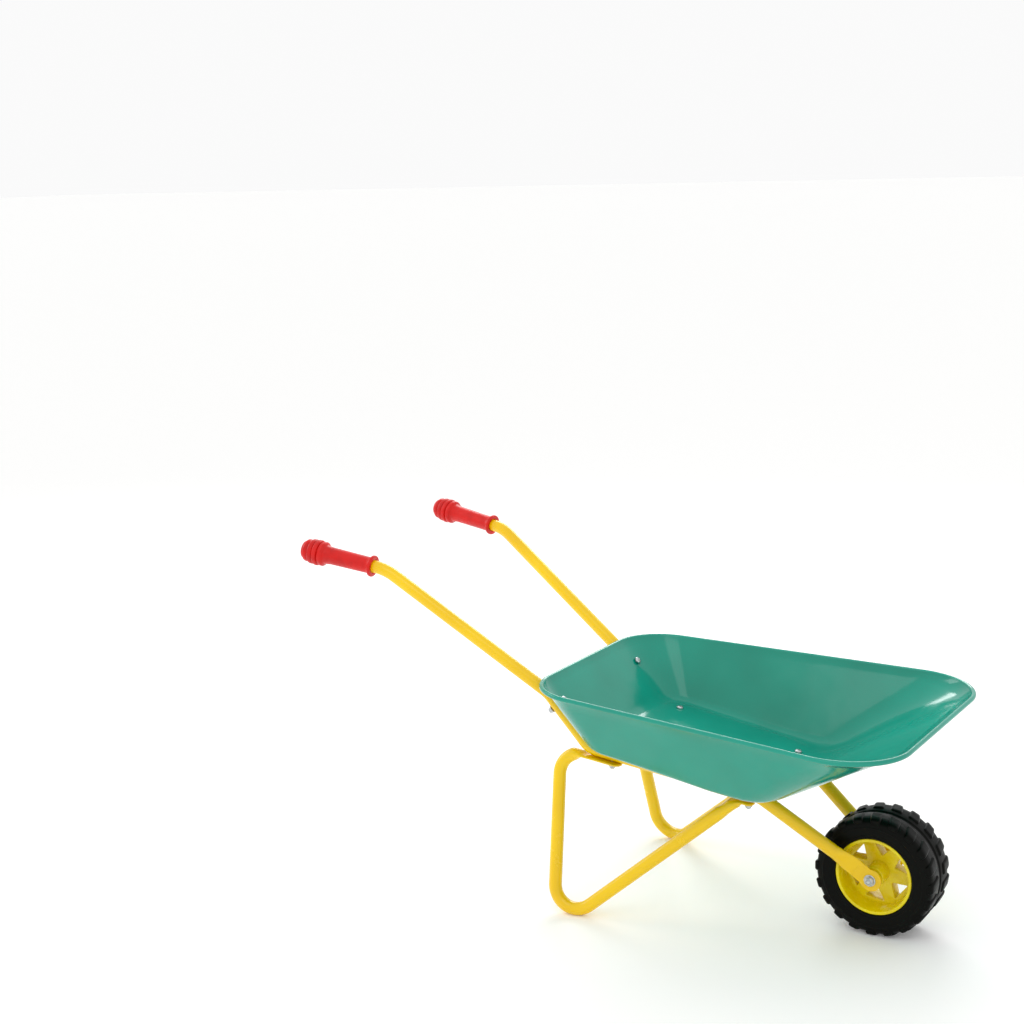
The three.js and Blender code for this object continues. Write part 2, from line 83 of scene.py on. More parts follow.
def floor_run(x):
    """The frame tube's axis under the tray floor, left side."""
    return (x, FLOOR_Y + FLOOR_TOE_IN * (x - FLOOR_X), FLOOR_Z + FLOOR_SLOPE * (x - FLOOR_X))


FLOOR_UP = Vector((-FLOOR_SLOPE, 0, 1)).normalized()

# Corners of the frame tube's axis, left side, each with its bend radius
FRAME_CORNERS = [
    ((-372, 150, 419.1), 0),
    ((-275.3, 138.8, 403.9), 60),
    ((-69.3, 97.8, 261.2), 40),
    (floor_run(FLOOR_X), 26),
    (floor_run(197), 22),
    ((303, PLATE_Y, 84.4), 12),
    ((AXLE_X, PLATE_Y, AXLE_Z), 0),
]
EYE_FLAT = {"start": 52, "full": 24}

BOLT_R = 2.5
BOLT_X = {"rear": 14.6, "front": 185}
WALL_BOLT_Z = 247
WALL_CURVE = 2.6

LEG_TOP = (-56, 94, 190)
LEG_GROUND = (-40, 149, -21.6)
LEG_BEND = {"eased": 60, "top": 26, "ground": 28, "front": 18}
LEG_END = {
    "rear": {"past": 12, "start": 62, "full": 38},
    "front": {"past": 7, "start": 46, "full": 22},
}


# ---------------------------------------------------------------- colours and materials
def linear(hex_colour, alpha=1.0):
    """An sRGB hex colour as linear red, green, blue and alpha."""
    channels = [int(hex_colour[i : i + 2], 16) / 255 for i in (1, 3, 5)]
    lit = [c / 12.92 if c <= 0.04045 else ((c + 0.055) / 1.055) ** 2.4 for c in channels]
    return (*lit, alpha)


def per_mm(size):
    """The scale of a noise or wave pattern whose features are about this many millimetres across."""
    return 1 / (size * MM)


def add_node(tree, kind, settings=None, **inputs):
    """Adds a node. settings are its own values, and inputs are socket values, or sockets to link."""
    made = tree.nodes.new(kind)
    for key, value in (settings or {}).items():
        setattr(made, key, value)
    for key, value in inputs.items():
        socket = made.inputs[key.replace("_", " ")]
        if isinstance(value, bpy.types.NodeSocket):
            tree.links.new(value, socket)
        else:
            socket.default_value = value
    return made


def new_material(name):
    """An empty material: its node tree, its shader and the Object coordinates."""
    made = bpy.data.materials.new(name)
    made.use_nodes = True
    tree = made.node_tree
    tree.nodes.clear()
    shader = tree.nodes.new("ShaderNodeBsdfPrincipled")
    output = tree.nodes.new("ShaderNodeOutputMaterial")
    tree.links.new(shader.outputs["BSDF"], output.inputs["Surface"])
    place = tree.nodes.new("ShaderNodeTexCoord").outputs["Object"]
    return made, tree, shader, place


def noise(tree, place, size, detail=2.0, rough=0.5):
    """Cloudy noise with features of a size in millimetres."""
    return add_node(
        tree, "ShaderNodeTexNoise", Vector=place, Scale=per_mm(size), Detail=detail, Roughness=rough
    ).outputs["Fac"]


def ramp(tree, value, low, high, to_low, to_high):
    """A value between low and high, spread over another range."""
    limits = {"From_Min": low, "From_Max": high, "To_Min": to_low, "To_Max": to_high}
    return add_node(tree, "ShaderNodeMapRange", Value=value, **limits).outputs["Result"]


def mixed(tree, amount, first, second):
    """Two colours mixed by an amount."""
    made = add_node(tree, "ShaderNodeMix", {"data_type": "RGBA"}, Factor=amount)
    for socket, colour in ((made.inputs[6], first), (made.inputs[7], second)):
        if isinstance(colour, bpy.types.NodeSocket):
            tree.links.new(colour, socket)
        else:
            socket.default_value = colour
    return made.outputs[2]


def bumped(tree, shader, layers):
    """Bump from several heights, each with its depth in millimetres."""
    normal = None
    for height, depth in layers:
        made = add_node(tree, "ShaderNodeBump", Height=height, Distance=depth * MM)
        if normal is not None:
            tree.links.new(normal, made.inputs["Normal"])
        normal = made.outputs["Normal"]
    tree.links.new(normal, shader.inputs["Normal"])


def baked_paint(name, colour, deep, rough, peel_depth):
    """Gloss powder coat on steel. It pools slightly uneven, so the gloss ripples like orange peel,
    the colour drifts a little, and faint rub marks dull it in patches."""
    made, tree, shader, place = new_material(name)
    drift = noise(tree, place, 90, 2)
    rubs = ramp(tree, noise(tree, place, 28, 5, 0.62), 0.52, 0.74, 0, 1)
    speck = ramp(tree, noise(tree, place, 2.2, 2), 0.66, 0.75, 0, 1)
    tint = mixed(tree, ramp(tree, drift, 0.3, 0.7, 0, 1), linear(deep), linear(colour))
    specked = mixed(tree, ramp(tree, speck, 0, 1, 0, 0.08), tint, linear(deep))
    tree.links.new(specked, shader.inputs["Base Color"])
    tree.links.new(ramp(tree, rubs, 0, 1, rough, rough + 0.13), shader.inputs["Roughness"])
    shader.inputs["IOR"].default_value = 1.5
    shader.inputs["Specular IOR Level"].default_value = 0.4
    shader.inputs["Coat Weight"].default_value = 0.12
    shader.inputs["Coat Roughness"].default_value = 0.06
    peel = noise(tree, place, 2.6, 1)
    waves = noise(tree, place, 34, 1)
    bumped(tree, shader, [(waves, 0.35), (peel, peel_depth)])
    return made


def moulded_vinyl():
    """Soft plasticised PVC, dip moulded: satin skin with a fine matt grain and handling shine."""
    made, tree, shader, place = new_material("red_vinyl")
    worn = ramp(tree, noise(tree, place, 16, 4), 0.4, 0.68, 0, 1)
    tint = mixed(tree, worn, linear("#d4120c"), linear("#bf0d0a"))
    tree.links.new(tint, shader.inputs["Base Color"])
    tree.links.new(ramp(tree, worn, 0, 1, 0.42, 0.3), shader.inputs["Roughness"])
    shader.inputs["IOR"].default_value = 1.52
    shader.inputs["Specular IOR Level"].default_value = 0.3
    shader.inputs["Subsurface Weight"].default_value = 0.04
    shader.inputs["Subsurface Scale"].default_value = 1.5 * MM
    bumped(tree, shader, [(noise(tree, place, 0.9, 3), 0.05), (noise(tree, place, 12, 1), 0.15)])
    return made


def moulded_hub_plastic():
    """Polypropylene, injection moulded: glossy, slightly waxy, with sink marks that bend the gloss."""
    made, tree, shader, place = new_material("yellow_polypropylene")
    drift = ramp(tree, noise(tree, place, 22, 3), 0.35, 0.7, 0, 1)
    tint = mixed(tree, drift, linear("#eeda00"), linear("#e2c900"))
    tree.links.new(tint, shader.inputs["Base Color"])
    scuff = ramp(tree, noise(tree, place, 7, 5, 0.65), 0.52, 0.75, 0.27, 0.42)
    tree.links.new(scuff, shader.inputs["Roughness"])
    shader.inputs["IOR"].default_value = 1.49
    shader.inputs["Subsurface Weight"].default_value = 0.05
    shader.inputs["Subsurface Scale"].default_value = 2 * MM
    bumped(tree, shader, [(noise(tree, place, 15, 1), 0.2), (noise(tree, place, 0.8, 2), 0.02)])
    return made


def moulded_rubber():
    """Blow moulded tyre rubber: near black with a trace of green, satin, with a pebbled skin and a
    little pale dust held in the pores."""
    made, tree, shader, place = new_material("tyre_rubber")
    dust = ramp(tree, noise(tree, place, 9, 6, 0.7), 0.5, 0.78, 0, 1)
    tint = mixed(tree, ramp(tree, dust, 0, 1, 0, 0.35), linear("#070805"), linear("#10110d"))
    tree.links.new(tint, shader.inputs["Base Color"])
    tree.links.new(ramp(tree, dust, 0, 1, 0.36, 0.56), shader.inputs["Roughness"])
    shader.inputs["IOR"].default_value = 1.52
    shader.inputs["Specular IOR Level"].default_value = 0.08
    pebble = add_node(tree, "ShaderNodeTexVoronoi", Vector=place, Scale=per_mm(1.3)).outputs["Distance"]
    bumped(tree, shader, [(pebble, 0.035), (noise(tree, place, 10, 2), 0.22)])
    return made


def zinc_plate():
    """Bright zinc plate on steel: pale grey metal, cloudy, with fine turning marks and dull spots."""
    made, tree, shader, place = new_material("zinc_plate")
    cloud = ramp(tree, noise(tree, place, 2.5, 4), 0.35, 0.7, 0, 1)
    tint = mixed(tree, cloud, linear("#d3d5d6"), linear("#a9adb0"))
    tree.links.new(tint, shader.inputs["Base Color"])
    shader.inputs["Metallic"].default_value = 1.0
    tree.links.new(ramp(tree, cloud, 0, 1, 0.22, 0.4), shader.inputs["Roughness"])
    bumped(tree, shader, [(noise(tree, place, 0.5, 2), 0.02)])
    return made


def natural_nylon():
    """Unfilled nylon, moulded: off-white, waxy and slightly see-through at its edges."""
    made, tree, shader, place = new_material("natural_nylon")
    drift = ramp(tree, noise(tree, place, 6, 3), 0.35, 0.7, 0, 1)
    tint = mixed(tree, drift, linear("#ece8da"), linear("#ddd8c8"))
    tree.links.new(tint, shader.inputs["Base Color"])
    tree.links.new(ramp(tree, drift, 0, 1, 0.4, 0.5), shader.inputs["Roughness"])
    shader.inputs["IOR"].default_value = 1.53
    shader.inputs["Subsurface Weight"].default_value = 0.2
    shader.inputs["Subsurface Scale"].default_value = 1.5 * MM
    bumped(tree, shader, [(noise(tree, place, 0.7, 2), 0.02)])
    return made


LOOKS = {
    "teal_paint": baked_paint("teal_powder_coat", "#0b9a84", "#088e79", 0.14, 0.02),
    "yellow_paint": baked_paint("yellow_powder_coat", "#f6cc00", "#ecbe00", 0.2, 0.015),
    "red_grip": moulded_vinyl(),
    "yellow_plastic": moulded_hub_plastic(),
    "tyre_rubber": moulded_rubber(),
    "zinc": zinc_plate(),
    "nylon": natural_nylon(),
}


# ---------------------------------------------------------------- making pieces
def finish_piece(bm, name, slot, nodes, body="frame", sharp=35):
    """Turns a bmesh into a piece of the object: outward normals, smooth faces with sharp edges."""
    bmesh.ops.remove_doubles(bm, verts=bm.verts, dist=1e-6)
    bmesh.ops.recalc_face_normals(bm, faces=bm.faces)
    mesh = bpy.data.meshes.new(name)
    bm.to_mesh(mesh)
    bm.free()
    mesh.shade_smooth()
    mesh.set_sharp_from_angle(angle=math.radians(sharp))
    mesh.materials.append(LOOKS[slot])
    piece = bpy.data.objects.new(name, mesh)
    bpy.context.scene.collection.objects.link(piece)
    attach(piece, body)
    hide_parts(*nodes)
    return piece


def mirror_if_right(bm, side):
    """A piece is made for the left side; the right one is its mirror image."""
    if side == RIGHT:
        bmesh.ops.scale(bm, vec=(1, -1, 1), verts=bm.verts)
        bmesh.ops.reverse_faces(bm, faces=bm.faces)


def place_along(bm, at, along):
    """Turns what was made around Z so that Z points along a direction, and moves it to a point."""
    turn = Vector((0, 0, 1)).rotation_difference(Vector(along).normalized()).to_matrix().to_4x4()
    bmesh.ops.transform(bm, matrix=Matrix.Translation(at) @ turn, verts=bm.verts)


def turned(bm, profile, steps=48, closed=False):
    """Spins a profile of (radius, height) pairs in millimetres around Z. Returns the new vertices."""
    before = set(bm.verts)
    points = [bm.verts.new(mm(r, 0, h)) for r, h in profile]
    edges = [bm.edges.new(pair) for pair in zip(points, points[1:])]
    if closed:
        edges.append(bm.edges.new((points[-1], points[0])))
    bmesh.ops.spin(
        bm, geom=points + edges, cent=(0, 0, 0), axis=(0, 0, 1), dvec=(0, 0, 0),
        angle=2 * math.pi, steps=steps, use_merge=True, use_duplicate=False,
    )
    new = [v for v in bm.verts if v not in before]
    bmesh.ops.remove_doubles(bm, verts=new, dist=1e-6)
    return [v for v in bm.verts if v not in before]


def rounded(corners, radius, steps=4, closed=False):
    """A profile with its inner corners rounded; radius is in millimetres, and 0 ends stay."""
    out = []
    count = len(corners)
    for i, corner in enumerate(corners):
        at = Vector(corner)
        if not closed and i in (0, count - 1):
            out.append(tuple(at))
            continue
        back = Vector(corners[i - 1]) - at
        ahead = Vector(corners[(i + 1) % count]) - at
        reach = min(radius, back.length * 0.45, ahead.length * 0.45)
        first, last = at + back.normalized() * reach, at + ahead.normalized() * reach
        for s in range(steps + 1):
            t = s / steps
            out.append(tuple(first * (1 - t) ** 2 + at * 2 * t * (1 - t) + last * t * t))
    return out


# ---------------------------------------------------------------- bent tubes
def bent_axis(corners, step=9):
    """Points along a tube's axis, in millimetres: straight runs joined by arcs."""
    at = [Vector(p) for p, _ in corners]
    points = [at[0]]
    for i in range(1, len(at) - 1):
        back = (at[i - 1] - at[i]).normalized()
        ahead = (at[i + 1] - at[i]).normalized()
        radius = corners[i][1]
        half = back.angle(ahead) / 2
        centre = at[i] + (back + ahead).normalized() * radius / math.sin(half)
        spoke = at[i] + back * radius / math.tan(half) - centre
        turn = math.pi - 2 * half
        axis = ahead.cross(back).normalized()
        steps = max(6, math.ceil(turn / 0.08))
        points += [centre + Matrix.Rotation(turn * s / steps, 3, axis) @ spoke for s in range(steps + 1)]
    points.append(at[-1])
    filled = [points[0]]
    for a, b in zip(points, points[1:]):
        count = max(1, math.ceil((b - a).length / step))
        filled += [a.lerp(b, (k + 1) / count) for k in range(count)]
    return filled


def tube_bmesh(points, r, resolution=9):
    """A round tube along points in millimetres, from a bevelled curve."""
    curve = bpy.data.curves.new("tube_axis", "CURVE")
    curve.dimensions = "3D"
    curve.bevel_depth = r * MM
    curve.bevel_resolution = resolution
    curve.use_fill_caps = True
    spline = curve.splines.new("POLY")
    spline.points.add(len(points) - 1)
    for point, p in zip(spline.points, points):
        point.co = (*(p * MM), 1)
    holder = bpy.data.objects.new("tube_axis", curve)
    bpy.context.scene.collection.objects.link(holder)
    mesh = bpy.data.meshes.new_from_object(holder)
    bm = bmesh.new()
    bm.from_mesh(mesh)
    bpy.data.objects.remove(holder)
    bpy.data.meshes.remove(mesh)
    bpy.data.curves.remove(curve)
    bmesh.ops.remove_doubles(bm, verts=bm.verts, dist=1e-7)
    return bm


def nearest_on(points, p):
    """The nearest point of a line of points, and the distance along it."""
    best, along, run = None, 0, 0
    for a, b in zip(points, points[1:]):
        d = b - a
        t = min(1, max(0, (p - a).dot(d) / d.length_squared))
        q = a + d * t
        if best is None or (q - p).length < (best - p).length:
            best, along = q, run + t * d.length
        run += d.length
    return best, along


def ease(t):
    """From 0 to 1 with soft ends and a straight middle, as a press leaves between its two creases."""
    t = min(1, max(0, t))
    soft = 0.12
    if t < soft:
        return t * t / (2 * soft * (1 - soft))
    if t > 1 - soft:
        return 1 - (1 - t) ** 2 / (2 * soft * (1 - soft))
    return (t - soft / 2) / (1 - soft)


def press_end(bm, points, thin, flat, from_end=True, end_shape=None):
    """Presses one end of a tube flat across the direction thin, between its creases. end_shape is
    given a distance from the end and the plate's half width, and says where the end is cut round."""
    total = sum((b - a).length for a, b in zip(points, points[1:]))
    for v in bm.verts:
        p = v.co / MM
        middle, along = nearest_on(points, p)
        s = total - along if from_end else along
        if s > flat["start"] + CREASE_BOW:
            continue
        off = p - middle
        through = thin * off.dot(thin)
        across = off - through
        bow = CREASE_BOW * across.length / TUBE_R
        k = ease((flat["start"] - s + bow) / (flat["start"] - flat["full"]))
        wide = TUBE_R * (1 + k * (PRESSED_WIDER - 1))
        if end_shape:
            wide = end_shape(s, wide)
        squashed = through * (1 + k * (PRESSED / (2 * TUBE_R) - 1))
        # A pressed plate is flat with round edges, not a thin ellipse.
        if k > 0 and through.length > 1e-6:
            half = squashed.length
            lid = PRESSED / 2 * min(1, 2.6 * math.sqrt(max(0, 1 - (across.length / TUBE_R) ** 2)))
            squashed = squashed.normalized() * (half * (1 - k) + lid * k)
        v.co = (middle + across * wide / TUBE_R + squashed) * MM


def frame_tube(side, name):
    """One frame tube, from inside the grip to its pressed eye around the axle."""
    corners = list(FRAME_CORNERS)
    eye = Vector(corners[-1][0])
    before = Vector(corners[-2][0])
    corners[-1] = (tuple(eye + (eye - before).normalized() * EYE_R), 0)
    points = bent_axis(corners, 6)
    fine = []
    for a, b in zip(points, points[1:]):
        near = (b - eye).length < EYE_FLAT["start"] + 12
        count = max(1, math.ceil((b - a).length / 1.2)) if near else 1
        fine += [a.lerp(b, k / count) for k in range(count)]
    points = fine + [points[-1]]
    bm = tube_bmesh(points, TUBE_R)

    def eye_shape(s, wide):
        # s is measured from the tip, so the axle is one eye radius in.
        off = abs(s - EYE_R)
        disc = math.sqrt(max(0.0, EYE_R**2 - off**2))
        if s < EYE_R:
            return max(0.3, disc)
        return max(wide, disc)

    flat = {key: value + EYE_R for key, value in EYE_FLAT.items()}
    press_end(bm, points, Vector((0, 1, 0)), flat, end_shape=eye_shape)
    mirror_if_right(bm, side)
    finish_piece(bm, name + "_paint", "yellow_paint", [name], sharp=50)


def under_frame(x):
    """A point of the leg's axis where it lies pressed against the underside of the frame tube."""
    below = TUBE_R + GAP + PRESSED / 2
    return tuple(Vector(floor_run(x)) - FLOOR_UP * below)


def leg(side, name):
    """One bent leg with both ends pressed flat and cut round under the frame tube."""
    rear, front = LEG_END["rear"], LEG_END["front"]
    corners = [
        (under_frame(BOLT_X["rear"] + rear["past"]), 0),
        (under_frame(-14), LEG_BEND["eased"]),
        (LEG_TOP, LEG_BEND["top"]),
        (LEG_GROUND, LEG_BEND["ground"]),
        (under_frame(BOLT_X["front"] - 12), LEG_BEND["front"]),
        (under_frame(BOLT_X["front"] + front["past"]), 0),
    ]
    points = bent_axis(corners, 6)
    ends = (points[0], points[-1])
    fine = []
    for a, b in zip(points, points[1:]):
        near = min((b - end).length for end in ends) < 70
        count = max(1, math.ceil((b - a).length / 1.4)) if near else 1
        fine += [a.lerp(b, k / count) for k in range(count)]
    points = fine + [points[-1]]
    bm = tube_bmesh(points, TUBE_R)

    def round_end(reach):
        def shape(s, wide):
            return wide * math.sqrt(max(0.0009, 1 - ((reach - s) / reach) ** 2)) if s < reach else wide

        return shape

    press_end(bm, points, FLOOR_UP, rear, from_end=False, end_shape=round_end(9))
    press_end(bm, points, FLOOR_UP, front, end_shape=round_end(6))
    mirror_if_right(bm, side)
    finish_piece(bm, name + "_paint", "yellow_paint", [name], sharp=50)


# ---------------------------------------------------------------- tray
FLOOR_LINE = {
    "rear": -10.8,
    "front": 222,
    "rear_half": 119,
    "front_half": 117,
    "rear_r": 28,
    "front_r": 36,
}
RIM_LINE = {
    "rear": -72.5,
    "front": 388.8,
    "rear_half": 151,
    "front_half": 193.6,
    "rear_r": 66,
    "front_r": 78,
}
CORNER_STEPS = 22
SIDE_STEPS = (30, 22, 30, 22)
FLOOR_STEPS = (0.25, 0.5, 0.75, 0.93)
FOLD_STEPS = 12
WALL_STEPS = 8
BEAD_STEPS = 16
BEAD_ROLL = 1.8 * math.pi

# How far the fold reaches from the corner line, and how much further at the front
FOLD_REACH = 13
FRONT_FOLD_MORE = 26
FRONT_FOLD = {"from": 150, "over": 70}

# The fold runs towards these points of the tray's middle
TRAY_MIDDLE = Vector((100, 0, 0))
FOLD_RUNS_TO = {"rear": 12, "front": 180, "half": 0.72}

# The floor's long edges droop a little beside the tubes
DROOP = {"depth": 4, "from": 90, "over": 20}


def floor_z(x):
    return FLOOR_Z + FLOOR_SLOPE * (x - FLOOR_X) + (TUBE_R + GAP) * math.hypot(1, FLOOR_SLOPE)


def rim_z(x):
    return RIM_Z + RIM_SLOPE * (x - RIM_LINE["rear"])


def outline(shape, z, inward=0):
    """The loop of an outline with round corners, counter-clockwise from above, in millimetres."""
    rear, front = shape["rear"] + inward, shape["front"] - inward
    back, fore = shape["rear_half"] - inward, shape["front_half"] - inward
    rear_r, front_r = max(2, shape["rear_r"] - inward), max(2, shape["front_r"] - inward)
    corners = [
        (Vector((rear, -back, 0)), rear_r),
        (Vector((front, -fore, 0)), front_r),
        (Vector((front, fore, 0)), front_r),
        (Vector((rear, back, 0)), rear_r),
    ]
    arcs = []
    for i, (p, r) in enumerate(corners):
        to_back = (corners[i - 1][0] - p).normalized()
        to_next = (corners[(i + 1) % 4][0] - p).normalized()
        half = to_back.angle(to_next) / 2
        centre = p + (to_back + to_next).normalized() * r / math.sin(half)
        start = p + to_back * r / math.tan(half) - centre
        turn = math.pi - 2 * half
        turns = [turn * s / CORNER_STEPS for s in range(CORNER_STEPS + 1)]
        arcs.append([centre + Matrix.Rotation(angle, 3, "Z") @ start for angle in turns])
    loop = []
    for i, arc in enumerate(arcs):
        after = arcs[(i + 1) % 4][0]
        steps = SIDE_STEPS[i]
        loop += arc + [arc[-1].lerp(after, s / steps) for s in range(1, steps)]
    return [Vector((p.x, p.y, z(p.x))) for p in loop]


def tray_skin(raise_by):
    """One skin of the tray as loops from the floor up to the bead."""
    def z(x):
        return floor_z(x) + raise_by

    corner = outline(FLOOR_LINE, z, raise_by * 0.5)
    rim = outline(RIM_LINE, rim_z, BEAD_R - SHEET + raise_by)
    folds = []
    for c in corner:
        outward = Vector((c.x - TRAY_MIDDLE.x, c.y, 0)).normalized()
        ahead = min(1, max(0, (c.x - FRONT_FOLD["from"]) / FRONT_FOLD["over"]))
        folds.append(FOLD_REACH + FRONT_FOLD_MORE * ahead * max(0, outward.x))
    floor = []
    for c, fold in zip(corner, folds):
        inside = min(max(c.x, FOLD_RUNS_TO["rear"]), FOLD_RUNS_TO["front"])
        target = Vector((inside, c.y * FOLD_RUNS_TO["half"], c.z))
        p = c.lerp(target, fold / max(1, (c - target).length))
        floor.append(Vector((p.x, p.y, z(p.x))))
    drooping = []
    for c in corner:
        share = min(1, max(0, (abs(c.y) - DROOP["from"]) / DROOP["over"]))
        drooping.append(c - Vector((0, 0, DROOP["depth"] * share)))
    wall = [c.lerp(top, fold / (top - c).length) for c, top, fold in zip(drooping, rim, folds)]
    loops = []
    for shrink in FLOOR_STEPS:
        ring = [TRAY_MIDDLE.lerp(p, shrink) for p in floor]
        loops.append([Vector((p.x, p.y, z(p.x))) for p in ring])
    for s in range(FOLD_STEPS + 1):
        t = s / FOLD_STEPS
        parts = zip(floor, drooping, wall)
        loops.append([a * (1 - t) ** 2 + c * 2 * t * (1 - t) + b * t * t for a, c, b in parts])
    for s in range(1, WALL_STEPS + 1):
        t = s / WALL_STEPS
        loops.append([w.lerp(top, t) for w, top in zip(wall, rim)])
    return loops


def bead(inner_top):
    """The rolled edge, from the inner skin's top over and round to the outer skin."""
    centre = outline(RIM_LINE, rim_z)
    loops = []
    for s in range(1, BEAD_STEPS):
        angle = math.pi - s / BEAD_STEPS * BEAD_ROLL
        loop = []
        for c, top in zip(centre, inner_top):
            out = c - top
            out.z = 0
            out.normalize()
            loop.append(c + out * BEAD_R * math.cos(angle) + Vector((0, 0, BEAD_R * math.sin(angle))))
        loops.append(loop)
    return loops


def tray():
    """The pressed tray: two skins a sheet's thickness apart, joined by the rolled bead. One loop is
    extruded from the middle of the inner floor over the bead to the middle of the outer floor."""
    inner = tray_skin(SHEET)
    outer = tray_skin(0)
    loops = inner + bead(inner[-1]) + outer[::-1][1:]
    bm = bmesh.new()
    ring = [bm.verts.new(p * MM) for p in loops[0]]
    bm.faces.new(ring)
    for loop in loops[1:]:
        edges = [bm.edges.get(pair) for pair in zip(ring, ring[1:] + ring[:1])]
        grown = set(bmesh.ops.extrude_edge_only(bm, edges=edges)["geom"])
        ring = [next(e.other_vert(v) for e in v.link_edges if e.other_vert(v) in grown) for v in ring]
        for v, p in zip(ring, loop):
            v.co = p * MM
    bm.faces.new(ring)
    finish_piece(bm, "tray_paint", "teal_paint", ["tray"], sharp=60)


# ---------------------------------------------------------------- grips
GRIP_START = 17
GRIP_LENGTH = 101.4
GRIP_RIBS = 4
BULB_START = 70


def grip(side, name):
    """A dipped grip: a flange at the hand's front, a slim body and a ribbed bulb at the end."""
    body_r, flange_r, bulb_r = 10.3, 13.6, 16.4
    corners = [(TUBE_R + 0.9, 0), (flange_r - 0.8, 0), (flange_r, 0.9), (flange_r, 3.2)]
    corners += [(flange_r - 0.9, 4.2), (body_r + 0.7, 5), (body_r, 8), (body_r + 0.6, 60), (body_r + 1.6, 68)]
    pitch = (GRIP_LENGTH - 3 - BULB_START) / GRIP_RIBS
    for i in range(GRIP_RIBS):
        start = BULB_START + i * pitch
        r = bulb_r - 2.4 + 2.4 * math.sin(math.pi * (i + 0.9) / GRIP_RIBS)
        end = start + pitch
        corners += [(r - 0.9, start), (r, start + 1.2), (r, end - 2.6), (r - 0.9, end - 1.5)]
        corners.append((r - 2.6, end - 0.9))
    corners += [(11, GRIP_LENGTH - 0.9), (7, GRIP_LENGTH), (0, GRIP_LENGTH)]
    bm = bmesh.new()
    turned(bm, [(0, 1.2), *rounded([(TUBE_R + 0.2, 1.2), *corners], 0.9, 3)], 64)
    end, bend = Vector(FRAME_CORNERS[0][0]), Vector(FRAME_CORNERS[1][0])
    along = (end - bend).normalized()
    place_along(bm, (bend + along * GRIP_START) * MM, along)
    mirror_if_right(bm, side)
    finish_piece(bm, name + "_vinyl", "red_grip", [name], sharp=60)


# ---------------------------------------------------------------- fasteners
PAN_HEAD = {"r": 4.6, "height": 2.8}
WASHER = {"r": 5.2, "thick": 0.8}
CAP_NUT = {"corners": 4.6, "height": 3.6, "dome_r": 3.7, "dome_height": 3.2}
PAST_TUBE = 4
LOOSE = 0.05


def wall_bolt_place():
    """Where the wall bolt crosses the frame tube, and the direction its head points."""
    top, foot = Vector(FRAME_CORNERS[2][0]), Vector(FRAME_CORNERS[3][0])
    up = Vector((top.z - foot.z, 0, foot.x - top.x)).normalized()
    return top.lerp(foot, (top.z - WALL_BOLT_Z) / (top.z - foot.z)), up


def pan_head(bm, r, height):
    """A domed head with a cross recess, its flat face at height 0."""
    dome = [(0, height)]
    for k in range(1, 9):
        a = k / 8 * math.pi / 2
        dome.append((r * math.sin(a) ** 0.8, height * (0.35 + 0.65 * math.cos(a))))
    dome += [(r, height * 0.12), (r - 0.3, 0), (0, 0)]
    turned(bm, dome, 48)
    for turn in (0, math.pi / 2):
        slot = bmesh.ops.create_cube(bm, size=1)["verts"]
        bmesh.ops.scale(bm, vec=mm(r * 1.1, 0.95, 0.5), verts=slot)
        bmesh.ops.rotate(bm, cent=(0, 0, 0), matrix=Matrix.Rotation(turn + 0.5, 3, "Z"), verts=slot)
        bmesh.ops.translate(bm, vec=mm(0, 0, height - 0.1), verts=slot)


def hexagon(bm, across_corners, height, chamfer=0.45):
    """A hexagonal nut body with chamfered corners, its flat face at height 0, growing upwards."""
    made = bmesh.ops.create_circle(bm, cap_ends=True, segments=6, radius=across_corners * MM)
    face = made["verts"][0].link_faces[0]
    grown = bmesh.ops.extrude_face_region(bm, geom=[face])
    top = [v for v in grown["geom"] if isinstance(v, bmesh.types.BMVert)]
    bmesh.ops.translate(bm, vec=mm(0, 0, height), verts=top)
    edges = [e for e in bm.edges if all(v in made["verts"] + top for v in e.verts)]
    bmesh.ops.bevel(
        bm, geom=edges, offset=chamfer * MM, offset_type="OFFSET", segments=2, profile=0.5,
        affect="EDGES", material=-1,
    )


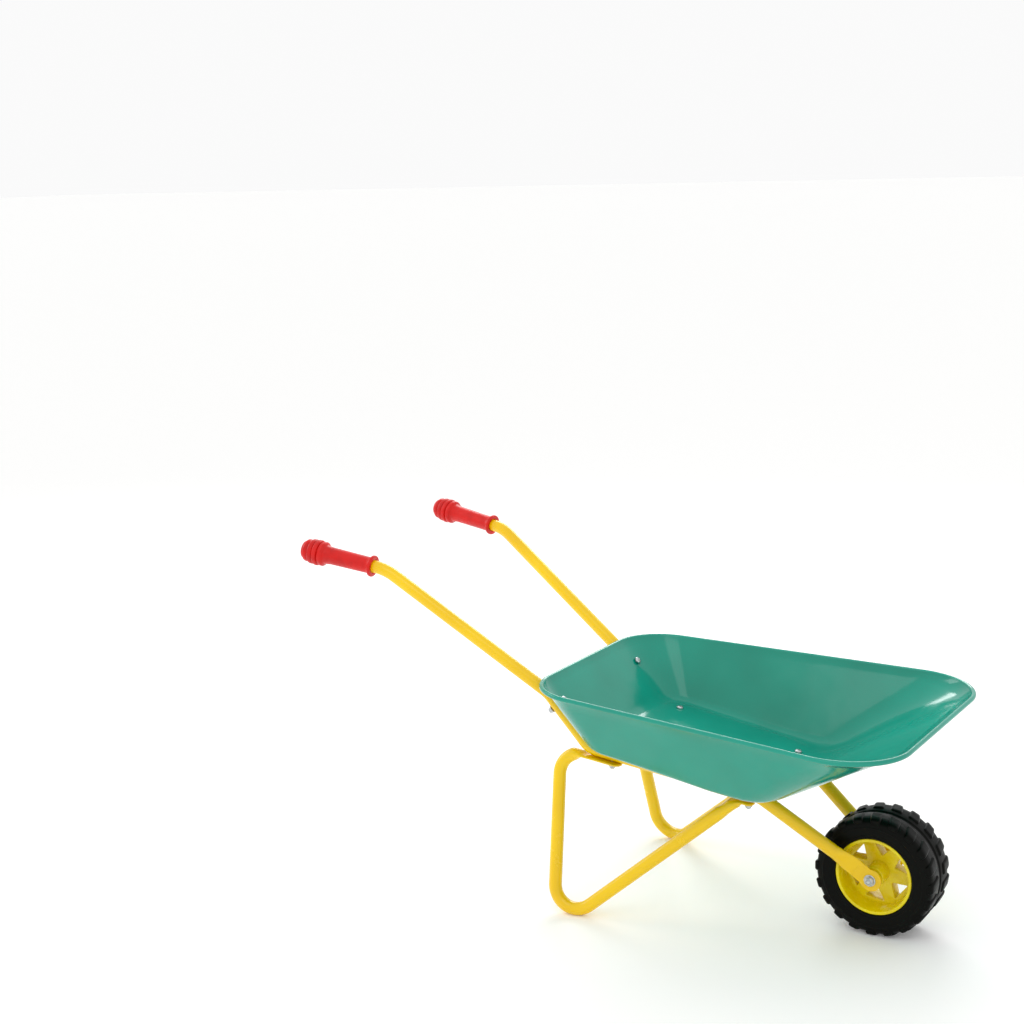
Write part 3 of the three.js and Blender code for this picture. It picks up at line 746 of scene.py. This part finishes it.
def fasteners(kind, side_name, side, at, up, stand_off, leg_end):
    """A bolt through the tray and the tube, with its washer and cap nut behind."""
    seat = TUBE_R + GAP + stand_off + SHEET + LOOSE
    washer_top = TUBE_R + leg_end
    tip = -seat - washer_top - PAST_TUBE
    bm = bmesh.new()
    pan_head(bm, PAN_HEAD["r"], PAN_HEAD["height"])
    shank = turned(bm, [(0, -0.01), (BOLT_R, -0.01), (BOLT_R, tip), (0, tip)], 20)
    bmesh.ops.translate(bm, vec=(0, 0, -LOOSE * MM), verts=shank)
    place_along(bm, (at + up * seat) * MM, up)
    mirror_if_right(bm, side)
    finish_piece(bm, f"{kind}_bolt_{side_name}_zinc", "zinc", [f"{kind}_bolt_{side_name}"])
    bm = bmesh.new()
    bore, r, thick = BOLT_R + GAP, WASHER["r"], WASHER["thick"]
    ring = rounded([(bore, 0), (r, 0), (r, thick), (bore, thick)], 0.15, 2, closed=True)
    turned(bm, ring, 40, closed=True)
    place_along(bm, (at - up * (washer_top + 0.1)) * MM, -up)
    mirror_if_right(bm, side)
    finish_piece(bm, f"{kind}_washer_{side_name}_zinc", "zinc", [f"{kind}_washer_{side_name}"])
    bm = bmesh.new()
    hexagon(bm, CAP_NUT["corners"], CAP_NUT["height"])
    foot = CAP_NUT["height"] - 0.3
    dome = [(0, foot), (CAP_NUT["dome_r"], foot)]
    for k in range(9):
        a = k / 8 * math.pi / 2
        height = CAP_NUT["height"] + CAP_NUT["dome_height"] * math.sin(a)
        dome.append((CAP_NUT["dome_r"] * math.cos(a), height))
    turned(bm, dome, 32)
    place_along(bm, (at - up * (washer_top + 1)) * MM, -up)
    mirror_if_right(bm, side)
    finish_piece(bm, f"{kind}_nut_{side_name}_zinc", "zinc", [f"{kind}_nut_{side_name}"])


# ---------------------------------------------------------------- wheel
LUG_R = 72.3
DRUM_R = 43.3
FLANGE_R = 45.8
DRUM_HALF = 29.5
SPOKES = 6
LUGS = 20
SPOKE_TURN = 0.64


def on_axle(bm):
    """What was made around Z is laid along the axle."""
    place_along(bm, AXLE_AT, (0, 1, 0))


def tyre():
    """The tyre: smooth walls with fine moulded rings, round shoulders and staggered blocks."""
    wall = [(DRUM_R + GAP, 26.6), (FLANGE_R + 0.4, 26.6), (FLANGE_R + 0.4, 29.2), (46.8, 30.4), (48.2, 31.1)]
    wall += [(49.4, 31.3), (49.9, 30.9), (50.6, 30.9), (51.1, 31.4), (54, 31.9), (58.2, 32.3)]
    wall += [(59.4, 32.3), (59.9, 32.7), (60.8, 32.7), (61.3, 32.3), (64, 31.7), (67, 30.4), (69.2, 28)]
    wall += [(70.3, 25), (70.8, 20)]
    centre = [(70.6, 13), (70.2, 3.2), (68.8, 2.2)]
    half = wall + centre
    profile = [(r, -h) for r, h in half] + [(r, h) for r, h in half[::-1]]
    bm = bmesh.new()
    turned(bm, rounded(profile, 0.7, 2, closed=True), 128, closed=True)
    for way in (-1, 1):
        shape = tread_block(way)
        for i in range(LUGS):
            before = set(bm.verts)
            bm.from_mesh(shape)
            turn = (i + (0.5 if way > 0 else 0)) * 2 * math.pi / LUGS
            grown = [v for v in bm.verts if v not in before]
            bmesh.ops.rotate(bm, cent=(0, 0, 0), matrix=Matrix.Rotation(turn, 3, "Z"), verts=grown)
        bpy.data.meshes.remove(shape)
    on_axle(bm)
    finish_piece(bm, "tyre_rubber_skin", "tyre_rubber", ["tyre"], body="wheel", sharp=40)


def tread_block(way):
    """One tread block as a mesh: a slab from the middle groove over the shoulder, with soft edges.
    It leans along the tread, narrows outwards, and its outer end runs down the wall."""
    bm = bmesh.new()
    bmesh.ops.create_cube(bm, size=1)
    bmesh.ops.scale(bm, vec=mm(14.5, 7, 23), verts=bm.verts)
    bmesh.ops.bevel(
        bm, geom=bm.edges[:], offset=3 * MM, offset_type="OFFSET", segments=4, profile=0.5,
        affect="EDGES", material=-1,
    )
    for cut in range(-9, 10, 2):
        everything = bm.verts[:] + bm.edges[:] + bm.faces[:]
        bmesh.ops.bisect_plane(bm, geom=everything, plane_co=mm(0, 0, cut), plane_no=(0, 0, 1))
    bmesh.ops.translate(bm, vec=mm(0, LUG_R - 3.5, way * 20.2), verts=bm.verts)
    for v in bm.verts:
        reach = way * v.co.z / MM
        narrow = 1 - 0.16 * max(0, reach - 18) / 13
        v.co.x = v.co.x * narrow + (reach - 20) * 0.22 * way * MM
        v.co.y -= 0.023 * max(0, reach - 23) ** 2 * MM
    mesh = bpy.data.meshes.new("tread_block")
    bm.to_mesh(mesh)
    bm.free()
    return mesh


def window_points(turn):
    """The corners of one window between two spokes, its point towards the boss, in millimetres."""
    corners = [(17.5, 0), (37.6, 0.37), (37.6, -0.37)]
    return [Vector((r * math.cos(a + turn), r * math.sin(a + turn), 0)) for r, a in corners]


def web_bmesh(r, half):
    """The hub's web, from a flat curve with six windows, given its depth and soft edges."""
    curve = bpy.data.curves.new("hub_web", "CURVE")
    curve.dimensions = "2D"
    curve.fill_mode = "BOTH"
    curve.extrude = (half - 0.8) * MM
    curve.bevel_depth = 0.8 * MM
    curve.bevel_resolution = 2
    round_the_web = [k / 96 * 2 * math.pi for k in range(96)]
    outlines = [[Vector((r * math.cos(a), r * math.sin(a), 0)) for a in round_the_web]]
    for i in range(SPOKES):
        corners = window_points((i + SPOKE_TURN) * 2 * math.pi / SPOKES)
        loop = []
        for k, p in enumerate(corners):
            back, ahead = corners[k - 1], corners[(k + 1) % 3]
            first, last = p.lerp(back, 0.16), p.lerp(ahead, 0.16)
            for t in (0, 0.25, 0.5, 0.75, 1):
                loop.append(first * (1 - t) ** 2 + p * 2 * t * (1 - t) + last * t * t)
        outlines.append(loop)
    for loop in outlines:
        spline = curve.splines.new("POLY")
        spline.use_cyclic_u = True
        spline.points.add(len(loop) - 1)
        for point, p in zip(spline.points, loop):
            point.co = (*(p * MM), 1)
    holder = bpy.data.objects.new("hub_web", curve)
    bpy.context.scene.collection.objects.link(holder)
    mesh = bpy.data.meshes.new_from_object(holder)
    bpy.data.objects.remove(holder)
    bpy.data.curves.remove(curve)
    return mesh


def hub():
    """The moulded hub: a drum with two flanges, a web with six spokes and a long boss."""
    inner = DRUM_R - 3
    edge = DRUM_HALF - 2.5
    drum = [(inner + 1.8, -DRUM_HALF), (FLANGE_R, -DRUM_HALF), (FLANGE_R, -edge), (DRUM_R, -edge)]
    drum += [(DRUM_R, edge), (FLANGE_R, edge), (FLANGE_R, DRUM_HALF), (inner + 1.8, DRUM_HALF)]
    drum += [(inner - 1.2, 7), (inner - 1.2, -7)]
    bm = bmesh.new()
    turned(bm, rounded(drum, 0.8, 3, closed=True), 128, closed=True)
    boss = [(3.4, -30), (11.6, -30), (12.2, -29.4), (13.4, 0), (12.2, 29.4), (11.6, 30), (3.4, 30)]
    turned(bm, boss, 64, closed=True)
    web = web_bmesh(inner - 0.4, 8.5)
    bm.from_mesh(web)
    bpy.data.meshes.remove(web)
    on_axle(bm)
    finish_piece(bm, "wheel_hub_plastic", "yellow_plastic", ["wheel_hub"], body="wheel", sharp=40)


def small_turned(name, profile, slot, nodes, at, along, body="frame"):
    """A small turned piece: a closed ring profile with soft edges, placed along a direction."""
    bm = bmesh.new()
    turned(bm, rounded(profile, 0.25, 2, closed=True), 40, closed=True)
    place_along(bm, at * MM, along)
    finish_piece(bm, name, slot, nodes, body=body)


def axle_set():
    """The axle, its bushes and spacers, and a washer and lock nut outside each eye."""
    bm = bmesh.new()
    turned(bm, [(0, -45), (2.4, -45), (3, -44.3), (3, 44.3), (2.4, 45), (0, 45)], 40)
    on_axle(bm)
    finish_piece(bm, "axle_zinc", "zinc", ["axle"])
    bore = AXLE_R + 0.12
    for name, side in SIDES.items():
        out = Vector((0, side, 0))

        def beside(y):
            return Vector((AXLE_X, side * y, AXLE_Z))

        sleeve = [(bore, -16), (5.5, -16), (5.5, 0), (8, 0), (8, 1.5), (bore, 1.5)]
        small_turned(f"hub_bush_{name}_nylon", sleeve, "nylon", [f"hub_bush_{name}"], beside(30.3), out, "wheel")
        gap = PLATE_Y - PRESSED / 2 - 32.1
        spacer = [(bore, 0), (6, 0), (6, gap), (bore, gap)]
        small_turned(f"axle_spacer_{name}_nylon", spacer, "nylon", [f"axle_spacer_{name}"], beside(32.0), out)
        plate = PLATE_Y + PRESSED / 2
        washer = [(bore, 0), (7, 0), (7, 1), (bore, 1)]
        small_turned(f"axle_washer_{name}_zinc", washer, "zinc", [f"axle_washer_{name}"], beside(plate), out)
        bm = bmesh.new()
        hexagon(bm, 5.9, 3.4)
        collar = [(3.1, 3.2), (4.6, 3.2), (4.6, 4.0), (4.2, 4.5), (3.1, 4.5)]
        turned(bm, collar, 40, closed=True)
        place_along(bm, beside(plate + 1) * MM, out)
        finish_piece(bm, f"axle_nut_{name}_zinc", "zinc", [f"axle_nut_{name}"])


# ---------------------------------------------------------------- the object
tray()
wall_at, wall_up = wall_bolt_place()
under_floor = PRESSED + GAP
for side_name, side in SIDES.items():
    frame_tube(side, f"frame_tube_{side_name}")
    leg(side, f"leg_{side_name}")
    grip(side, f"grip_{side_name}")
    fasteners("wall", side_name, side, wall_at, wall_up, WALL_CURVE, 0)
    for place_name, x in BOLT_X.items():
        at = Vector(floor_run(x))
        fasteners(f"{place_name}_floor", side_name, side, at, FLOOR_UP, 0, under_floor)
tyre()
hub()
axle_set()


# ---------------------------------------------------------------- floor, light and camera
def pale_floor():
    """A wide pale floor under the object."""
    bm = bmesh.new()
    bmesh.ops.create_grid(bm, x_segments=1, y_segments=1, size=60)
    mesh = bpy.data.meshes.new("floor")
    bm.to_mesh(mesh)
    bm.free()
    made, _, shader, _ = new_material("pale_floor")
    shader.inputs["Base Color"].default_value = linear("#fbfbfa")
    shader.inputs["Emission Color"].default_value = linear("#ffffff")
    shader.inputs["Emission Strength"].default_value = 0.06
    shader.inputs["Roughness"].default_value = 0.75
    mesh.materials.append(made)
    floor = bpy.data.objects.new("floor", mesh)
    bpy.context.scene.collection.objects.link(floor)


def soft_light(name, at, target, width, height, power):
    """A soft box: an area light that looks at a point."""
    lamp = bpy.data.lights.new(name, "AREA")
    lamp.shape = "RECTANGLE"
    lamp.size = width
    lamp.size_y = height
    lamp.energy = power
    made = bpy.data.objects.new(name, lamp)
    made.location = at
    made.rotation_euler = (Vector(target) - Vector(at)).to_track_quat("-Z", "Y").to_euler()
    bpy.context.scene.collection.objects.link(made)


def studio():
    """Plain soft studio light: a bright pale surround and three soft boxes."""
    world = bpy.data.worlds.new("studio")
    world.use_nodes = True
    background = world.node_tree.nodes["Background"]
    background.inputs["Color"].default_value = linear("#ffffff")
    background.inputs["Strength"].default_value = 0.96
    bpy.context.scene.world = world
    middle = (0.05, 0, 0.2)
    soft_light("key", (0.3, -1.5, 2.0), middle, 1.2, 1.0, 4)
    soft_light("window", (-0.6, 1.7, 1.5), middle, 1.3, 0.8, 18)
    soft_light("back", (-1.9, -0.3, 1.2), middle, 0.8, 1.0, 7)
    view = bpy.context.scene.view_settings
    view.view_transform = "Standard"
    view.look = "None"
    view.exposure = 0.0


def camera():
    """The camera stands to the right of the object and looks down on it a little."""
    right = Vector((0.8539, 0.5198, -0.0269)).normalized()
    back = Vector((0.5148, -0.8358, 0.1908))
    back = (back - right * back.dot(right)).normalized()
    up = back.cross(right)
    lens = bpy.data.cameras.new("camera")
    lens.sensor_width = 36
    lens.lens = 63.1
    made = bpy.data.objects.new("camera", lens)
    turn = Matrix((right, up, back)).transposed().to_4x4()
    made.matrix_world = Matrix.Translation(mm(1001.2, -1909.2, 895.3)) @ turn
    bpy.context.scene.collection.objects.link(made)
    bpy.context.scene.camera = made


pale_floor()
studio()
camera()
